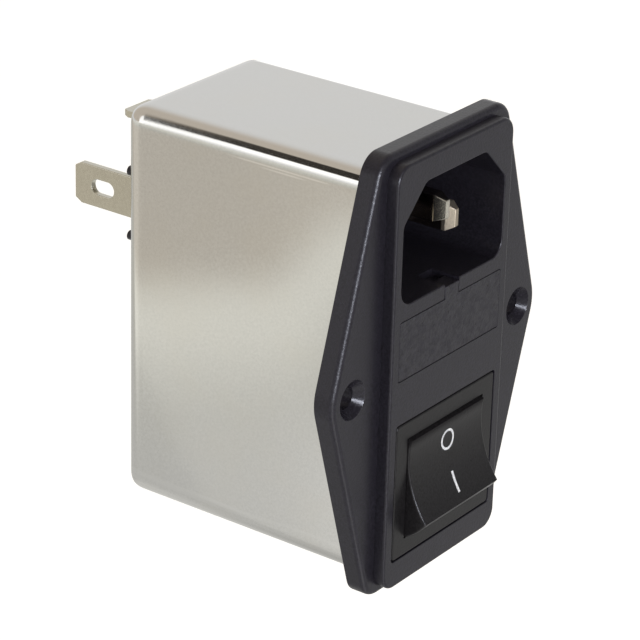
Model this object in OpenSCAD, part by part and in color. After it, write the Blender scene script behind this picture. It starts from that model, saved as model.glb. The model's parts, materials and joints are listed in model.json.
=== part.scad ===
// Power entry module: mains inlet, fuse drawer and rocker switch in one moulding, with a filter can behind.
// Millimetres. X runs right as seen from the front, Y runs back into the panel, Z runs up.
// The origin is the middle of the two panel screws, on the back face of the flange.

/* [Panel fixing] */
// Distance between the two panel screws
screw_spacing = 40; // [39:0.5:41.5]
// Bore for each panel screw
screw_hole_d = 3.3; // [3:0.1:3.6]
// Rim of each countersink
screw_head_d = 5.7; // [5.2:0.1:6.2]

/* [Flange] */
// Distance from a panel screw to the end of its ear
ear_reach = 4.55; // [4.2:0.05:6]
// Rounding of the ears
ear_r = 7; // [5:0.5:9]
// Rounding of the corners at the straight ends
flange_corner = 3.5; // [2:0.1:4]
// How far the straight ends reach out beside the raised face
flange_side = 1.2; // [1:0.1:2]
// How far the flange reaches above the raised face
flange_top = 1.3; // [0.8:0.05:2]
// How far the flange reaches below the raised face
flange_low = 1.1; // [0.8:0.05:2]
// Thickness
flange_t = 3.1; // [2.6:0.1:3.8]
// Rounding of the front edge
flange_edge = 0.9; // [0.4:0.1:1]

/* [Raised face] */
// Width of the raised face beside the widest opening
face_side = 1.64; // [1.5:0.02:2.4]
// Height of the raised face above the inlet cavity
face_top = 3.6; // [3.4:0.1:5]
// Height of the raised face below the switch frame
face_low = 4.3; // [4:0.1:5]
// How far the raised face stands out from the flange
face_t = 1.8; // [1.6:0.1:2.6]
// Rounding of the corners of the raised face
face_corner = 2.6; // [1.5:0.1:2.8]
// Rounding of the edge of the raised face
face_edge = 0.4; // [0.2:0.1:0.8]

/* [Filter can] */
// Room for the filter behind its board
can_room = 15.95; // [15.5:0.05:24]
// Sheet thickness of the can
can_wall = 0.5; // [0.4:0.05:0.6]
// Rounding of the drawn edges
can_corner = 2.2; // [1.6:0.1:2.6]
// Depth of the groove in the flange that seats the rim of the can
can_seat = 0.4; // [0.2:0.05:0.8]

/* [Inlet] */
// Width of the inlet cavity
inlet_w = 24.2; // [23.8:0.1:24.6]
// Height of the inlet cavity
inlet_h = 16.6; // [16:0.1:17]
// Rib between the inlet cavity and the fuse drawer
inlet_rib = 2.275; // [2.1:0.025:2.6]
// Size of the two slanted upper corners
inlet_cut = 5; // [4:0.1:6]
// Rounding of the lower corners
inlet_corner = 2.4; // [1:0.1:2.8]
// Rounding of the slanted corners
inlet_soft = 1.5; // [0.5:0.1:2]
// Depth of the cavity from the raised face
inlet_depth = 17; // [16.5:0.1:17.5]
// Thickness of a pin
pin_t = 2; // [1.8:0.1:2.2]
// Height of a pin
pin_h = 4; // [3.8:0.1:4.2]
// Distance between the left and right pins
pin_pitch = 14; // [13.8:0.1:14.2]
// How far the earth pin lies above the other two
pin_rise = 4.2; // [3.8:0.1:4.4]
// How far the middle of the pins lies below the middle of the cavity
pin_drop = 0.3; // [0:0.05:0.5]
// Depth of the left and right pin tips behind the raised face
pin_set = 4.3; // [4:0.1:6]
// Depth of the earth pin tip behind the raised face
earth_set = 1.2; // [0.8:0.1:3]
// Length of the taper at a pin tip
pin_taper = 1.3; // [1:0.1:2]

/* [Fuse drawer] */
// Width of the drawer front
drawer_w = 24; // [23.6:0.1:25]
// Height of the drawer front
drawer_h = 8.65; // [8.4:0.05:9.4]
// Middle of the drawer above the screw line
drawer_z = 4.5; // [4.3:0.05:4.7]
// Thickness of the drawer front
drawer_front_t = 2.4; // [2:0.1:2.6]
// Width of the pull tab that reaches up to the inlet cavity
pull_w = 3.3; // [2.8:0.1:4]
// How far the tip of the pull tab stays below the cavity floor
pull_drop = 0.45; // [0.3:0.05:0.6]
// Play of the drawer in its bay, per side
drawer_play = 0.12; // [0.1:0.01:0.15]
// Diameter of a fuse over its caps
fuse_d = 5.2; // [5:0.05:5.3]
// Length of a fuse
fuse_l = 20; // [19.5:0.1:20.5]
// Length of a fuse cap
fuse_cap_l = 5; // [4.5:0.1:5.5]
// Distance from the middle of a fuse to the side of the drawer
fuse_side = 5.8; // [5.6:0.05:6]

/* [Switch] */
// Width of the switch frame
switch_w = 23.7; // [23.5:0.1:24.4]
// Height of the switch frame
switch_h = 20.6; // [20.4:0.1:21.4]
// Rib between the fuse drawer and the switch frame
switch_rib = 6.875; // [6.5:0.025:7.5]
// Depth of the switch body behind its frame
switch_depth = 19.6; // [19.4:0.1:20]
// Gap round the switch frame
switch_gap = 0.2; // [0.15:0.05:0.3]
// Width of the rocker
rocker_w = 18.1; // [17.5:0.1:18.2]
// Radius of the rocker ends about the pivot
rocker_r = 8.3; // [8:0.05:8.4]
// Depth of the pivot behind the raised face
pivot_set = 3.46; // [3.3:0.02:3.6]
// Radius of the hollow in the rocker face
dish_r = 15.25; // [13:0.25:17]
// Distance from the pivot to the middle of the rocker face
dish_set = 4.28; // [4.1:0.02:4.4]
// Angle the rocker swings from off to on
rocker_swing = 28; // [24:1:28]
// Radius of the pivot pins
pivot_r = 1.25; // [1.1:0.05:1.35]
// Radial clearance of the pivot pins
pivot_play = 0.05; // [0.03:0.01:0.08]
// Gap between the rocker and the switch frame
rocker_gap = 0.15; // [0.12:0.01:0.2]
// Distance between the two poles
pole_pitch = 9; // [8.8:0.1:9.2]

/* [Tabs] */
// Width of a quick connect tab
tab_w = 6.2; // [6:0.1:6.5]
// Thickness of a tab
tab_t = 1; // [0.7:0.05:1.1]
// Distance between the left and right tabs
tab_pitch = 20; // [19.6:0.1:20.6]
// Middle of the left and right tabs above the screw line
tab_z = 14.05; // [13.6:0.05:14.4]
// Reach of the left and right tabs behind the can
tab_reach = 12.15; // [10:0.05:14]
// Reach of the earth tab behind the can
earth_reach = 9.5; // [8.5:0.1:12]
// Distance from the roof of the can to the earth tab
earth_drop = 6.55; // [6:0.05:7.5]
// Height of the foot that is welded to the can
earth_foot = 8; // [6:0.5:9]
// Distance between the two pegs of a tab bushing
peg_pitch = 9.8; // [9.4:0.1:10.4]
// How far the middle of the pegs lies below the middle of the tab
peg_drop = 0.4; // [0:0.05:0.5]
// Radius of a peg
peg_r = 0.7; // [0.6:0.05:0.75]
// Height of a peg above the back of the can
peg_h = 1.4; // [1:0.1:2]

/* [Filter board] */
// Thickness of the board
board_t = 1.6; // [1.2:0.1:2]
// Distance from the drawer bay to the board
board_set = 2.5; // [2.3:0.1:3]
// Middle radius of the choke ring
choke_r = 6.6; // [6.4:0.1:6.8]
// Section radius of the choke ring
choke_core_r = 2.9; // [2.6:0.1:3]
// Wire radius of the choke windings
choke_wire_r = 0.4; // [0.3:0.05:0.45]
// Width of the X capacitor
xcap_w = 18; // [15:0.5:20]
// Height of the X capacitor
xcap_h = 11; // [9:0.5:12]
// Thickness of the X capacitor
xcap_t = 8; // [6:0.5:10]
// Radius of a Y capacitor
ycap_r = 3.5; // [3:0.1:4]
// Thickness of a Y capacitor
ycap_t = 2.6; // [2:0.1:3]
// Distance between the two Y capacitors
ycap_pitch = 8; // [7:0.5:12]
// Radius of the bleed resistor
resistor_r = 1.15; // [0.9:0.05:1.25]
// Length of the bleed resistor
resistor_l = 6.4; // [5:0.2:8]
// Radius of the resistor's wires
resistor_wire_r = 0.3; // [0.2:0.05:0.35]

/* [Hidden] */
$fn = 48;
eps = 0.01;
// Fit of a piece that is pressed or soldered into another
fit = 0.05;
face_y = -flange_t - face_t;
// The inlet cavity stacks up from the drawer and the switch frame hangs down from it
inlet_low = drawer_z + drawer_h / 2 + inlet_rib;
inlet_high = inlet_low + inlet_h;
inlet_z = (inlet_low + inlet_high) / 2;
switch_z = drawer_z - drawer_h / 2 - switch_rib - switch_h / 2;
switch_low = switch_z - switch_h / 2;
bay_w = drawer_w + 2 * drawer_play;
bay_h = drawer_h + 2 * drawer_play;
seat_w = switch_w + 2 * switch_gap;
seat_h = switch_h + 2 * switch_gap;
// Width of the widest opening in the face
inner_w = max(bay_w, seat_w, inlet_w);
face_w = inner_w + 2 * face_side;
face_z0 = switch_low - face_low;
face_z1 = inlet_high + face_top;
flange_w = screw_spacing + 2 * ear_reach;
flange_end_w = face_w + 2 * flange_side;
flange_z0 = face_z0 - flange_low;
flange_z1 = face_z1 + flange_top;
// Slope of the flange sides and the sharp corner that the ear rounding starts from
ear_slope = atan((flange_w - flange_end_w) / (flange_z1 - flange_z0));
ear_x = flange_w / 2 + ear_r * (1 / cos(ear_slope) - 1);
// Body of the moulding inside the can, by its walls beside, above and below the openings
body_side = 1.33;
body_top = 1.1;
body_low = 2.1;
body_w = inner_w + 2 * body_side;
body_z0 = switch_low - body_low;
body_z1 = inlet_high + body_top;
body_h = body_z1 - body_z0;
// Clearance of the moulding inside the can
can_play = 0.15;
can_in_w = body_w + 2 * can_play;
can_in_h = body_h + 2 * can_play;
can_w = can_in_w + 2 * can_wall;
can_h = can_in_h + 2 * can_wall;
can_z = (body_z0 + body_z1) / 2;
body_corner = can_corner - can_wall;
wall = 1.2;
inlet_end = face_y + inlet_depth;
inlet_floor_t = 2;
body_end = inlet_end + inlet_floor_t;
pin_z = inlet_z - pin_drop - pin_rise / 2;
earth_pin_z = inlet_z - pin_drop + pin_rise / 2;
pin_tail_t = 1;
pin_tail_h = 2.4;
strap_foot = 5;
fuse_pitch = drawer_w - 2 * fuse_side;
drawer_back = face_y + drawer_front_t;
fuse_y = drawer_back + 1;
fuse_end = fuse_y + fuse_l;
drawer_end = fuse_end - 0.2;
contact_t = 0.6;
// Clearance between a fuse and its contacts
contact_gap = 0.05;
dome_h = 0.55;
rear_contact_y = fuse_end + contact_gap + dome_h;
bay_end = rear_contact_y + contact_t;
bay_wall = 1.4;
bay_low = drawer_z - bay_h / 2;
bay_high = drawer_z + bay_h / 2;
bay_back = bay_end + bay_wall;
board_y = bay_back + board_set;
board_back = board_y + board_t;
can_y = board_back + can_room;
earth_z = can_z + can_h / 2 - earth_drop;
frame_t = 1.6;
frame_back = face_y + frame_t;
pivot_y = face_y + pivot_set;
// Thickness of the switch body walls
switch_wall_x = 1.7;
switch_wall_z = 1.2;
rocker_room = rocker_r + rocker_gap;
switch_in_w = rocker_w + 2 * rocker_gap;
switch_body_w = switch_in_w + 2 * switch_wall_x;
switch_body_h = 2 * (rocker_room + switch_wall_z);
switch_end = face_y + switch_depth;
switch_floor_t = 1.6;
rocker_wall = 1.3;
seesaw_y = pivot_y + 7.64;
seesaw_t = 0.7;
seesaw_arm = 6;
seesaw_w = 4;
seesaw_v = 12.5;
seesaw_tilt = 8;
hinge_y = seesaw_y + seesaw_t;
plunger_r = 1.25;
plunger_reach = 7.45;
well_r = plunger_r + 0.1;
well_end = 2.6;
spring_r = 0.95;
spring_wire_r = 0.2;
spring_l = 3.2;
button_r = 1.1;
button_h = 0.5;
button_z = 5;
strip_w = 2;
strip_t = 0.4;
post_r = 1.1;
// The bushings reach out to where the back of the can starts to round
bushing_side = can_in_w / 2 - body_corner;
choke_z = -3;
choke_turn_r = choke_core_r + choke_wire_r + 0.05;
choke_y = board_back + choke_turn_r + choke_wire_r + 0.05;

// Rounded outlines

function unit(v) = v / norm(v);

// Points of one rounded corner b of a convex outline that runs a, b, c counter-clockwise
function corner_arc(a, b, c, r, n) =
    let (u = unit(a - b), v = unit(c - b), half = acos(u * v) / 2)
    let (m = b + unit(u + v) * (r / sin(half)), p = b + u * (r / tan(half)))
    let (start = atan2(p[1] - m[1], p[0] - m[0]), turn = 180 - 2 * half)
    [for (i = [0 : n]) m + r * [cos(start + turn * i / n), sin(start + turn * i / n)]];

// The outline with each corner rounded by its own radius
function rounded(pts, radii, n = 6) =
    let (k = len(pts))
    [for (i = [0 : k - 1]) each corner_arc(pts[(i + k - 1) % k], pts[i], pts[(i + 1) % k], radii[i], n)];

// A corner of the outline moved in from both of its sides
function inset_corner(a, b, c, d) =
    let (u = unit(a - b), v = unit(c - b), half = acos(u * v) / 2) b + unit(u + v) * (d / sin(half));

// The whole outline moved in by d
function inset(pts, d) =
    let (k = len(pts))
    [for (i = [0 : k - 1]) inset_corner(pts[(i + k - 1) % k], pts[i], pts[(i + 1) % k], d)];

function smaller(radii, d) = [for (r = radii) max(r - d, 0.05)];

function rectangle(w, h, z = 0) =
    [[-w / 2, z - h / 2], [w / 2, z - h / 2], [w / 2, z + h / 2], [-w / 2, z + h / 2]];

function same(r, k) = [for (i = [1 : k]) r];

// Building blocks

// Extrudes an outline in X and Z from y0 to y1
module along_y(y0, y1) {
    translate([0, y1, 0]) rotate([90, 0, 0]) linear_extrude(y1 - y0) children();
}

// Extrudes an outline in Y and Z from x0 to x1
module along_x(x0, x1) {
    translate([x0, 0, 0]) rotate([90, 0, 90]) linear_extrude(x1 - x0) children();
}

module block(x, y, z) {
    translate([x[0], y[0], z[0]]) cube([x[1] - x[0], y[1] - y[0], z[1] - z[0]]);
}

module rod_y(r, x, y, z) {
    translate([x, y[1], z]) rotate([90, 0, 0]) cylinder(r = r, h = y[1] - y[0]);
}

module rod_x(r, x, y, z) {
    translate([x[0], y, z]) rotate([0, 90, 0]) cylinder(r = r, h = x[1] - x[0]);
}

// A convex plate whose front edge is rounded over a quarter circle
module soft_plate(pts, radii, front, back, edge, n = 6) {
    hull() {
        for (a = [0 : 30 : 60]) {
            d = edge * (1 - sin(a));
            y = front + edge * (1 - cos(a));
            along_y(y, y + eps) polygon(rounded(inset(pts, d), smaller(radii, d), n));
        }
        along_y(front + edge, back) polygon(rounded(pts, radii, n));
    }
}

// A box along Y with rounded long edges and a rounded back
module drawn_box(w, h, z, front, back, r) {
    pts = rectangle(w, h, z);
    hull() {
        along_y(front, back - r) polygon(rounded(pts, same(r, 4), 8));
        for (a = [15 : 15 : 75]) {
            d = r * (1 - cos(a));
            y = back - r * (1 - sin(a));
            along_y(y - eps, y) polygon(rounded(inset(pts, d), smaller(same(r, 4), d), 8));
        }
        along_y(back - eps, back) polygon(inset(pts, r));
    }
}

// Copies for the left and the right side
module left_side() {
    children();
}

module right_side() {
    mirror([1, 0, 0]) children();
}

// Front moulding

function flange_outline() = [
    [-flange_end_w / 2, flange_z0], [flange_end_w / 2, flange_z0], [ear_x, 0],
    [flange_end_w / 2, flange_z1], [-flange_end_w / 2, flange_z1], [-ear_x, 0]];

function flange_radii() = [flange_corner, flange_corner, ear_r, flange_corner, flange_corner, ear_r];

function inlet_outline() =
    let (x = inlet_w / 2, z0 = inlet_low, z1 = inlet_high)
    [[-x, z0], [x, z0], [x, z1 - inlet_cut], [x - inlet_cut, z1], [inlet_cut - x, z1], [-x, z1 - inlet_cut]];

function inlet_radii() = [inlet_corner, inlet_corner, inlet_soft, inlet_soft, inlet_soft, inlet_soft];

module panel_hole() {
    head_h = (screw_head_d - screw_hole_d) / 2;
    rod_y(screw_hole_d / 2, screw_spacing / 2, [-flange_t - eps, eps], 0);
    translate([screw_spacing / 2, -flange_t + head_h, 0])
        rotate([90, 0, 0])
        cylinder(d1 = screw_hole_d, d2 = screw_head_d, h = head_h);
    rod_y(screw_head_d / 2, screw_spacing / 2, [-flange_t - 1, -flange_t + eps], 0);
}

module inlet_cavity() {
    along_y(face_y - 1, inlet_end) polygon(rounded(inlet_outline(), inlet_radii()));
}

// Groove that takes the rim of the can, so that the flange alone bears on the panel
module can_groove() {
    difference() {
        along_y(-can_seat, 1)
            polygon(rounded(rectangle(can_w + 2 * fit, can_h + 2 * fit, can_z), same(can_corner + fit, 4), 8));
        along_y(-can_seat - 1, 2)
            polygon(rounded(rectangle(body_w, body_h, can_z), same(body_corner, 4)));
    }
}

module drawer_bay() {
    block([-bay_w / 2, bay_w / 2], [face_y - 1, bay_end], [bay_low, bay_high]);
    // Slot for the pull tab, up into the cavity floor
    slot = pull_w / 2 + drawer_play;
    block([-slot, slot], [face_y - 1, drawer_back + drawer_play], [drawer_z, inlet_low + 0.5]);
    // Finger room behind the pull tab
    block([-slot, slot], [drawer_back, drawer_back + 2.2], [inlet_low - 1.1, inlet_low + 0.5]);
    for (side = [-1, 1]) {
        x = side * fuse_pitch / 2;
        // Way up for the rear contact
        mirror([side < 0 ? 1 : 0, 0, 0])
            block([rear_contact_x0() - fit, rear_contact_x1() + fit], [rear_contact_y - fit, bay_end],
                [drawer_z, bay_high + 3]);
        // Groove in the bay floor for the front contact
        groove = strip_w / 2 + fit;
        block([x - groove, x + groove], [fuse_y, bay_back + 1], [bay_low - strip_t - fit, bay_low + eps]);
    }
}

module switch_bay() {
    along_y(face_y - 1, frame_back + fit) polygon(rectangle(seat_w, seat_h, switch_z));
    along_y(face_y - 1, body_end + 1)
        polygon(rectangle(switch_body_w + 2 * can_play, switch_body_h + 2 * can_play, switch_z));
}

module pin_slot(x, z) {
    block([x - pin_t / 2, x + pin_t / 2], [inlet_end - 1, body_end + 1], [z - pin_h / 2, z + pin_h / 2]);
}

module board_posts() {
    for (x = [-1, 1], z = [-1, 1]) {
        px = x * (body_w / 2 - body_corner);
        pz = can_z + z * (body_h / 2 - body_corner);
        rod_y(post_r, px, [body_end - 2, board_y], pz);
        rod_y(post_r / 2, px, [board_y - 1, board_back + 0.5], pz);
    }
}

module front_housing() {
    bay_out = bay_w / 2 + wall / 2;
    switch_top = switch_z + switch_body_h / 2 + can_play;
    color("#38373a") difference() {
        union() {
            soft_plate(flange_outline(), flange_radii(), -flange_t, 0, flange_edge);
            soft_plate(rectangle(face_w, face_z1 - face_z0, (face_z0 + face_z1) / 2), same(face_corner, 4),
                face_y, -eps, face_edge);
            along_y(-eps, body_end)
                polygon(rounded(rectangle(body_w, body_h, can_z), same(body_corner, 4)));
            block([-bay_out, bay_out], [-eps, bay_back], [bay_low - wall, bay_high + wall]);
            board_posts();
        }
        for (side = [0, 1]) mirror([side, 0, 0]) panel_hole();
        can_groove();
        inlet_cavity();
        for (side = [-1, 1]) pin_slot(side * pin_pitch / 2, pin_z);
        pin_slot(0, earth_pin_z);
        drawer_bay();
        switch_bay();
        // Hollow between the drawer bay and the switch
        block([-bay_w / 2, bay_w / 2], [-flange_t, body_end + 1], [switch_top + wall, bay_low - wall]);
    }
}

// Filter can

module tab_opening() {
    bushing_collar(2 * fit);
    bushing_pegs(fit);
}

module filter_can() {
    color("#b7b3a9") difference() {
        drawn_box(can_w, can_h, can_z, -can_seat, can_y, can_corner);
        drawn_box(can_in_w, can_in_h, can_z, -1, can_y - can_wall, can_corner - can_wall);
        left_side() tab_opening();
        right_side() tab_opening();
    }
}

// Inlet pins

// A pin with its tip tapered on all four sides and a thinner tail
module pin(x, z, tip, tail) {
    tip_y = face_y + tip;
    cut_t = pin_t * 0.3;
    cut_h = pin_h * 0.18;
    intersection() {
        translate([0, 0, z - pin_h / 2])
            linear_extrude(pin_h)
            polygon([[x - pin_t / 2 + cut_t, tip_y], [x + pin_t / 2 - cut_t, tip_y],
                [x + pin_t / 2, tip_y + pin_taper], [x + pin_t / 2, body_end],
                [x - pin_t / 2, body_end], [x - pin_t / 2, tip_y + pin_taper]]);
        along_x(x - pin_t, x + pin_t)
            polygon([[tip_y, z - pin_h / 2 + cut_h], [tip_y + pin_taper, z - pin_h / 2],
                [body_end, z - pin_h / 2], [body_end, z + pin_h / 2],
                [tip_y + pin_taper, z + pin_h / 2], [tip_y, z + pin_h / 2 - cut_h]]);
    }
    block([x - pin_tail_t / 2, x + pin_tail_t / 2], [body_end - 1, tail],
        [z - pin_tail_h / 2, z + pin_tail_h / 2]);
}

module left_pin() {
    color("#b9b19b") pin(-pin_pitch / 2, pin_z, pin_set, bay_end + 0.4);
}

module right_pin() {
    color("#b9b19b") pin(pin_pitch / 2, pin_z, pin_set, bay_end + 0.4);
}

module earth_pin() {
    color("#b9b19b") pin(0, earth_pin_z, earth_set, body_end + contact_t + 0.4);
}

// Tail hole in a sheet that is riveted on a pin
module tail_hole(x, z) {
    block([x - pin_tail_t / 2 - fit / 2, x + pin_tail_t / 2 + fit / 2], [0, board_y],
        [z - pin_tail_h / 2 - fit / 2, z + pin_tail_h / 2 + fit / 2]);
}

// Joins the earth pin to the roof of the can
module earth_strap() {
    top = can_z + can_in_h / 2;
    half = pin_h / 2 + 0.4;
    color("#c08a4a") difference() {
        union() {
            block([-half, half], [body_end, body_end + contact_t], [earth_pin_z - half, top]);
            block([-half, half], [body_end, body_end + strap_foot], [top - contact_t, top]);
        }
        tail_hole(0, earth_pin_z);
    }
}

// Fuse drawer

module fuse_trough(x) {
    r = fuse_d / 2 + 0.1;
    rod_y(r, x, [fuse_y - 0.3, drawer_end + 1], drawer_z);
    block([x - r + 0.3, x + r - 0.3], [fuse_y - 0.3, drawer_end + 1], [drawer_z, drawer_z + drawer_h]);
    // Way in from below for the front contact
    slot = strip_w / 2 + 0.35;
    block([x - slot, x + slot], [fuse_y - 0.3, drawer_end + 1], [drawer_z - drawer_h, drawer_z]);
}

module fuse_drawer() {
    low = drawer_z - drawer_h / 2;
    side = drawer_w / 2;
    edge = 0.25;
    pull_top = inlet_low - pull_drop;
    color("#38373a") difference() {
        union() {
            soft_plate(rectangle(drawer_w, drawer_h, drawer_z), same(0.5, 4), face_y, drawer_back, edge, 3);
            block([-pull_w / 2, pull_w / 2], [face_y, drawer_back], [drawer_z, pull_top]);
            block([-side, side], [drawer_back - eps, drawer_end], [low, low + drawer_h - 0.8]);
        }
        for (s = [-1, 1]) fuse_trough(s * fuse_pitch / 2);
        // Hollow middle
        block([-2, 2], [drawer_back + 3, drawer_end - 2], [low - 1, low + drawer_h]);
        // Grooves along the sides
        for (s = [-1, 1]) {
            x = s * side;
            block([x - 0.8, x + 0.8], [drawer_back + 1.5, drawer_end + 1], [drawer_z - 1, drawer_z + 1]);
        }
    }
}

module fuse_tube(x) {
    r = fuse_d / 2 - 0.25;
    difference() {
        rod_y(r, x, [fuse_y + 0.3, fuse_end - 0.3], drawer_z);
        rod_y(r - 0.7, x, [fuse_y, fuse_end], drawer_z);
    }
}

module fuse_caps(x) {
    for (end = [0, 1]) {
        y0 = end == 0 ? fuse_y : fuse_end - fuse_cap_l;
        in0 = end == 0 ? fuse_y + 0.3 : y0 - 1;
        in1 = end == 0 ? y0 + fuse_cap_l + 1 : fuse_end - 0.3;
        difference() {
            rod_y(fuse_d / 2, x, [y0, y0 + fuse_cap_l], drawer_z);
            rod_y(fuse_d / 2 - 0.25, x, [in0, in1], drawer_z);
        }
    }
}

module fuse_wire(x) {
    rod_y(0.15, x, [fuse_y + 0.3, fuse_end - 0.3], drawer_z);
}

module left_fuse_tube() {
    color("#d8e2e4") fuse_tube(-fuse_pitch / 2);
}

module right_fuse_tube() {
    color("#d8e2e4") fuse_tube(fuse_pitch / 2);
}

module left_fuse_caps() {
    color("#c9c6bd") fuse_caps(-fuse_pitch / 2);
}

module right_fuse_caps() {
    color("#c9c6bd") fuse_caps(fuse_pitch / 2);
}

module left_fuse_wire() {
    color("#a9a59a") fuse_wire(-fuse_pitch / 2);
}

module right_fuse_wire() {
    color("#a9a59a") fuse_wire(fuse_pitch / 2);
}

// Sides of the right rear contact, which covers both the fuse and the tail of its pin
function rear_contact_x0() = min(fuse_pitch, pin_pitch) / 2 - seesaw_w / 2;
function rear_contact_x1() = max(fuse_pitch, pin_pitch) / 2 + seesaw_w / 2;

// Rises from the rear of a fuse to the tail of its pin
module rear_contact() {
    x = fuse_pitch / 2;
    difference() {
        union() {
            block([rear_contact_x0(), rear_contact_x1()], [rear_contact_y, bay_end],
                [bay_low + 0.5, pin_z + pin_tail_h / 2 + 0.8]);
            rod_y(1.5, x, [rear_contact_y - dome_h, rear_contact_y + eps], drawer_z);
        }
        tail_hole(pin_pitch / 2, pin_z);
    }
}

module left_rear_contact() {
    color("#c08a4a") right_side() rear_contact();
}

module right_rear_contact() {
    color("#c08a4a") rear_contact();
}

// Lies in the bay floor, bears on the front cap from below and drops to the switch
module front_contact() {
    x = fuse_pitch / 2;
    half = strip_w / 2;
    low = bay_low - strip_t;
    top = drawer_z - fuse_d / 2 - contact_gap;
    y0 = fuse_y + 0.6;
    drop_y = bay_back + 0.2;
    arm_x = pole_pitch / 2 + seesaw_w / 2 + 0.3;
    foot_z = switch_z + tab_t / 2;
    along_x(x - half, x + half)
        polygon([[y0, low], [y0 + 1, top - strip_t], [y0 + 2, top - strip_t], [y0 + 3, low],
            [drop_y + contact_t, low], [drop_y + contact_t, bay_low], [y0 + 3.2, bay_low],
            [y0 + 2.2, top], [y0 + 0.8, top], [y0 - 0.2, low]]);
    block([x - half, arm_x + strip_w], [drop_y, drop_y + contact_t], [low - 3, low + eps]);
    block([arm_x, arm_x + strip_w], [drop_y, drop_y + contact_t], [foot_z, low]);
    block([pole_pitch / 2, arm_x + strip_w], [drop_y, drop_y + contact_t], [foot_z, foot_z + 2]);
}

module left_front_contact() {
    color("#c08a4a") right_side() front_contact();
}

module right_front_contact() {
    color("#c08a4a") front_contact();
}

// Switch

module terminal_slot(x, z) {
    half = seesaw_w / 2 + fit;
    block([x - half, x + half], [switch_end - 5, switch_end + 1], [z - tab_t / 2 - fit, z + tab_t / 2 + fit]);
}

module switch_frame() {
    in_end = switch_end - switch_floor_t;
    color("#3a3937") difference() {
        union() {
            soft_plate(rectangle(switch_w, switch_h, switch_z), same(0.6, 4), face_y, frame_back, 0.25, 3);
            along_y(frame_back - eps, switch_end)
                polygon(rectangle(switch_body_w, switch_body_h, switch_z));
        }
        rod_x(rocker_room, [-switch_in_w / 2, switch_in_w / 2], pivot_y, switch_z);
        along_y(pivot_y, in_end) polygon(rectangle(switch_in_w, 2 * rocker_room, switch_z));
        rod_x(pivot_r + pivot_play, [-switch_body_w, switch_body_w], pivot_y, switch_z);
        for (s = [-1, 1]) {
            terminal_slot(s * pole_pitch / 2, switch_z);
            terminal_slot(s * pole_pitch / 2, switch_z + seesaw_arm);
        }
    }
}

// Places a shape drawn about the pivot in the off position
module on_rocker() {
    translate([0, pivot_y, switch_z]) rotate([-rocker_swing / 2, 0, 0]) children();
}

module rocker_shell() {
    half = rocker_w / 2;
    dish_y = -dish_set - dish_r;
    skirt = 2.75;
    difference() {
        rod_x(rocker_r, [-half, half], 0, 0);
        rod_x(dish_r, [-half - 1, half + 1], dish_y, 0);
        block([-half - 1, half + 1], [skirt, rocker_r + 1], [-rocker_r - 1, rocker_r + 1]);
        difference() {
            rod_x(rocker_r - rocker_wall, [rocker_wall - half, half - rocker_wall], 0, 0);
            rod_x(dish_r + rocker_wall, [-half, half], dish_y, 0);
        }
    }
}

module rocker() {
    half = rocker_w / 2;
    pivot_l = switch_wall_x + rocker_gap - 0.3;
    block_r = well_r + 0.9;
    color("#323130") on_rocker() difference() {
        union() {
            rocker_shell();
            for (s = [-1, 1]) {
                x = s * pole_pitch / 2;
                block([x - block_r, x + block_r], [-dish_set + 0.4, 4.2], [-block_r, block_r]);
            }
            rod_x(pivot_r, [-half - pivot_l, -half + 1], 0, 0);
            rod_x(pivot_r, [half - 1, half + pivot_l], 0, 0);
        }
        for (s = [-1, 1]) rod_y(well_r, s * pole_pitch / 2, [-well_end, 5], 0);
    }
}

module plungers() {
    color("#d9d4c4") on_rocker() {
        for (s = [-1, 1]) {
            x = s * pole_pitch / 2;
            rod_y(plunger_r, x, [spring_l - well_end, plunger_reach - plunger_r], 0);
            translate([x, plunger_reach - plunger_r, 0]) sphere(plunger_r);
        }
    }
}

// A coil along Y, swept as rings of points
module coil(r, wire, length, turns) {
    ring = 8;
    steps = turns * 16;
    rise = (length - 2 * wire) / steps;
    pts = [for (i = [0 : steps], j = [0 : ring - 1])
        let (a = 360 * i / 16, b = 360 * j / ring, q = r + wire * cos(b))
        [q * cos(a), wire + i * rise + wire * sin(b), q * sin(a)]];
    sides = [for (i = [0 : steps - 1], j = [0 : ring - 1])
        let (k = (j + 1) % ring)
        [i * ring + j, i * ring + k, (i + 1) * ring + k, (i + 1) * ring + j]];
    first = [for (j = [0 : ring - 1]) ring - 1 - j];
    last = [for (j = [0 : ring - 1]) steps * ring + j];
    polyhedron(points = pts, faces = concat([first], sides, [last]), convexity = 8);
}

module plunger_springs() {
    color("#b9b9b4") on_rocker() {
        for (s = [-1, 1]) {
            translate([s * pole_pitch / 2, -well_end, 0]) coil(spring_r, spring_wire_r, spring_l, 4);
        }
    }
}

// A shallow V of sheet that tilts on the common terminal
module seesaw(x) {
    rise = seesaw_arm * tan(seesaw_v);
    y0 = -seesaw_t;
    translate([x, hinge_y, switch_z]) rotate([seesaw_tilt, 0, 0]) {
        along_x(-seesaw_w / 2, seesaw_w / 2)
            polygon([[y0, 0], [y0 - rise, -seesaw_arm], [-rise, -seesaw_arm], [0, 0],
                [-rise, seesaw_arm], [y0 - rise, seesaw_arm]]);
        rod_y(button_r, 0, [-button_z * tan(seesaw_v) - 0.4, -button_z * tan(seesaw_v) + button_h], button_z);
    }
}

module left_seesaw() {
    color("#c08a4a") seesaw(-pole_pitch / 2);
}

module right_seesaw() {
    color("#c08a4a") seesaw(pole_pitch / 2);
}

// Blade with a knife edge that carries the seesaw
module common_terminal(x) {
    tip = hinge_y + contact_gap;
    half = tab_t / 2;
    along_x(x - seesaw_w / 2, x + seesaw_w / 2)
        polygon([[tip, switch_z], [tip + 0.8, switch_z - half], [board_y, switch_z - half],
            [board_y, switch_z + half], [tip + 0.8, switch_z + half]]);
}

module left_common_terminal() {
    color("#c9c6bd") common_terminal(-pole_pitch / 2);
}

module right_common_terminal() {
    color("#c9c6bd") common_terminal(pole_pitch / 2);
}

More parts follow.
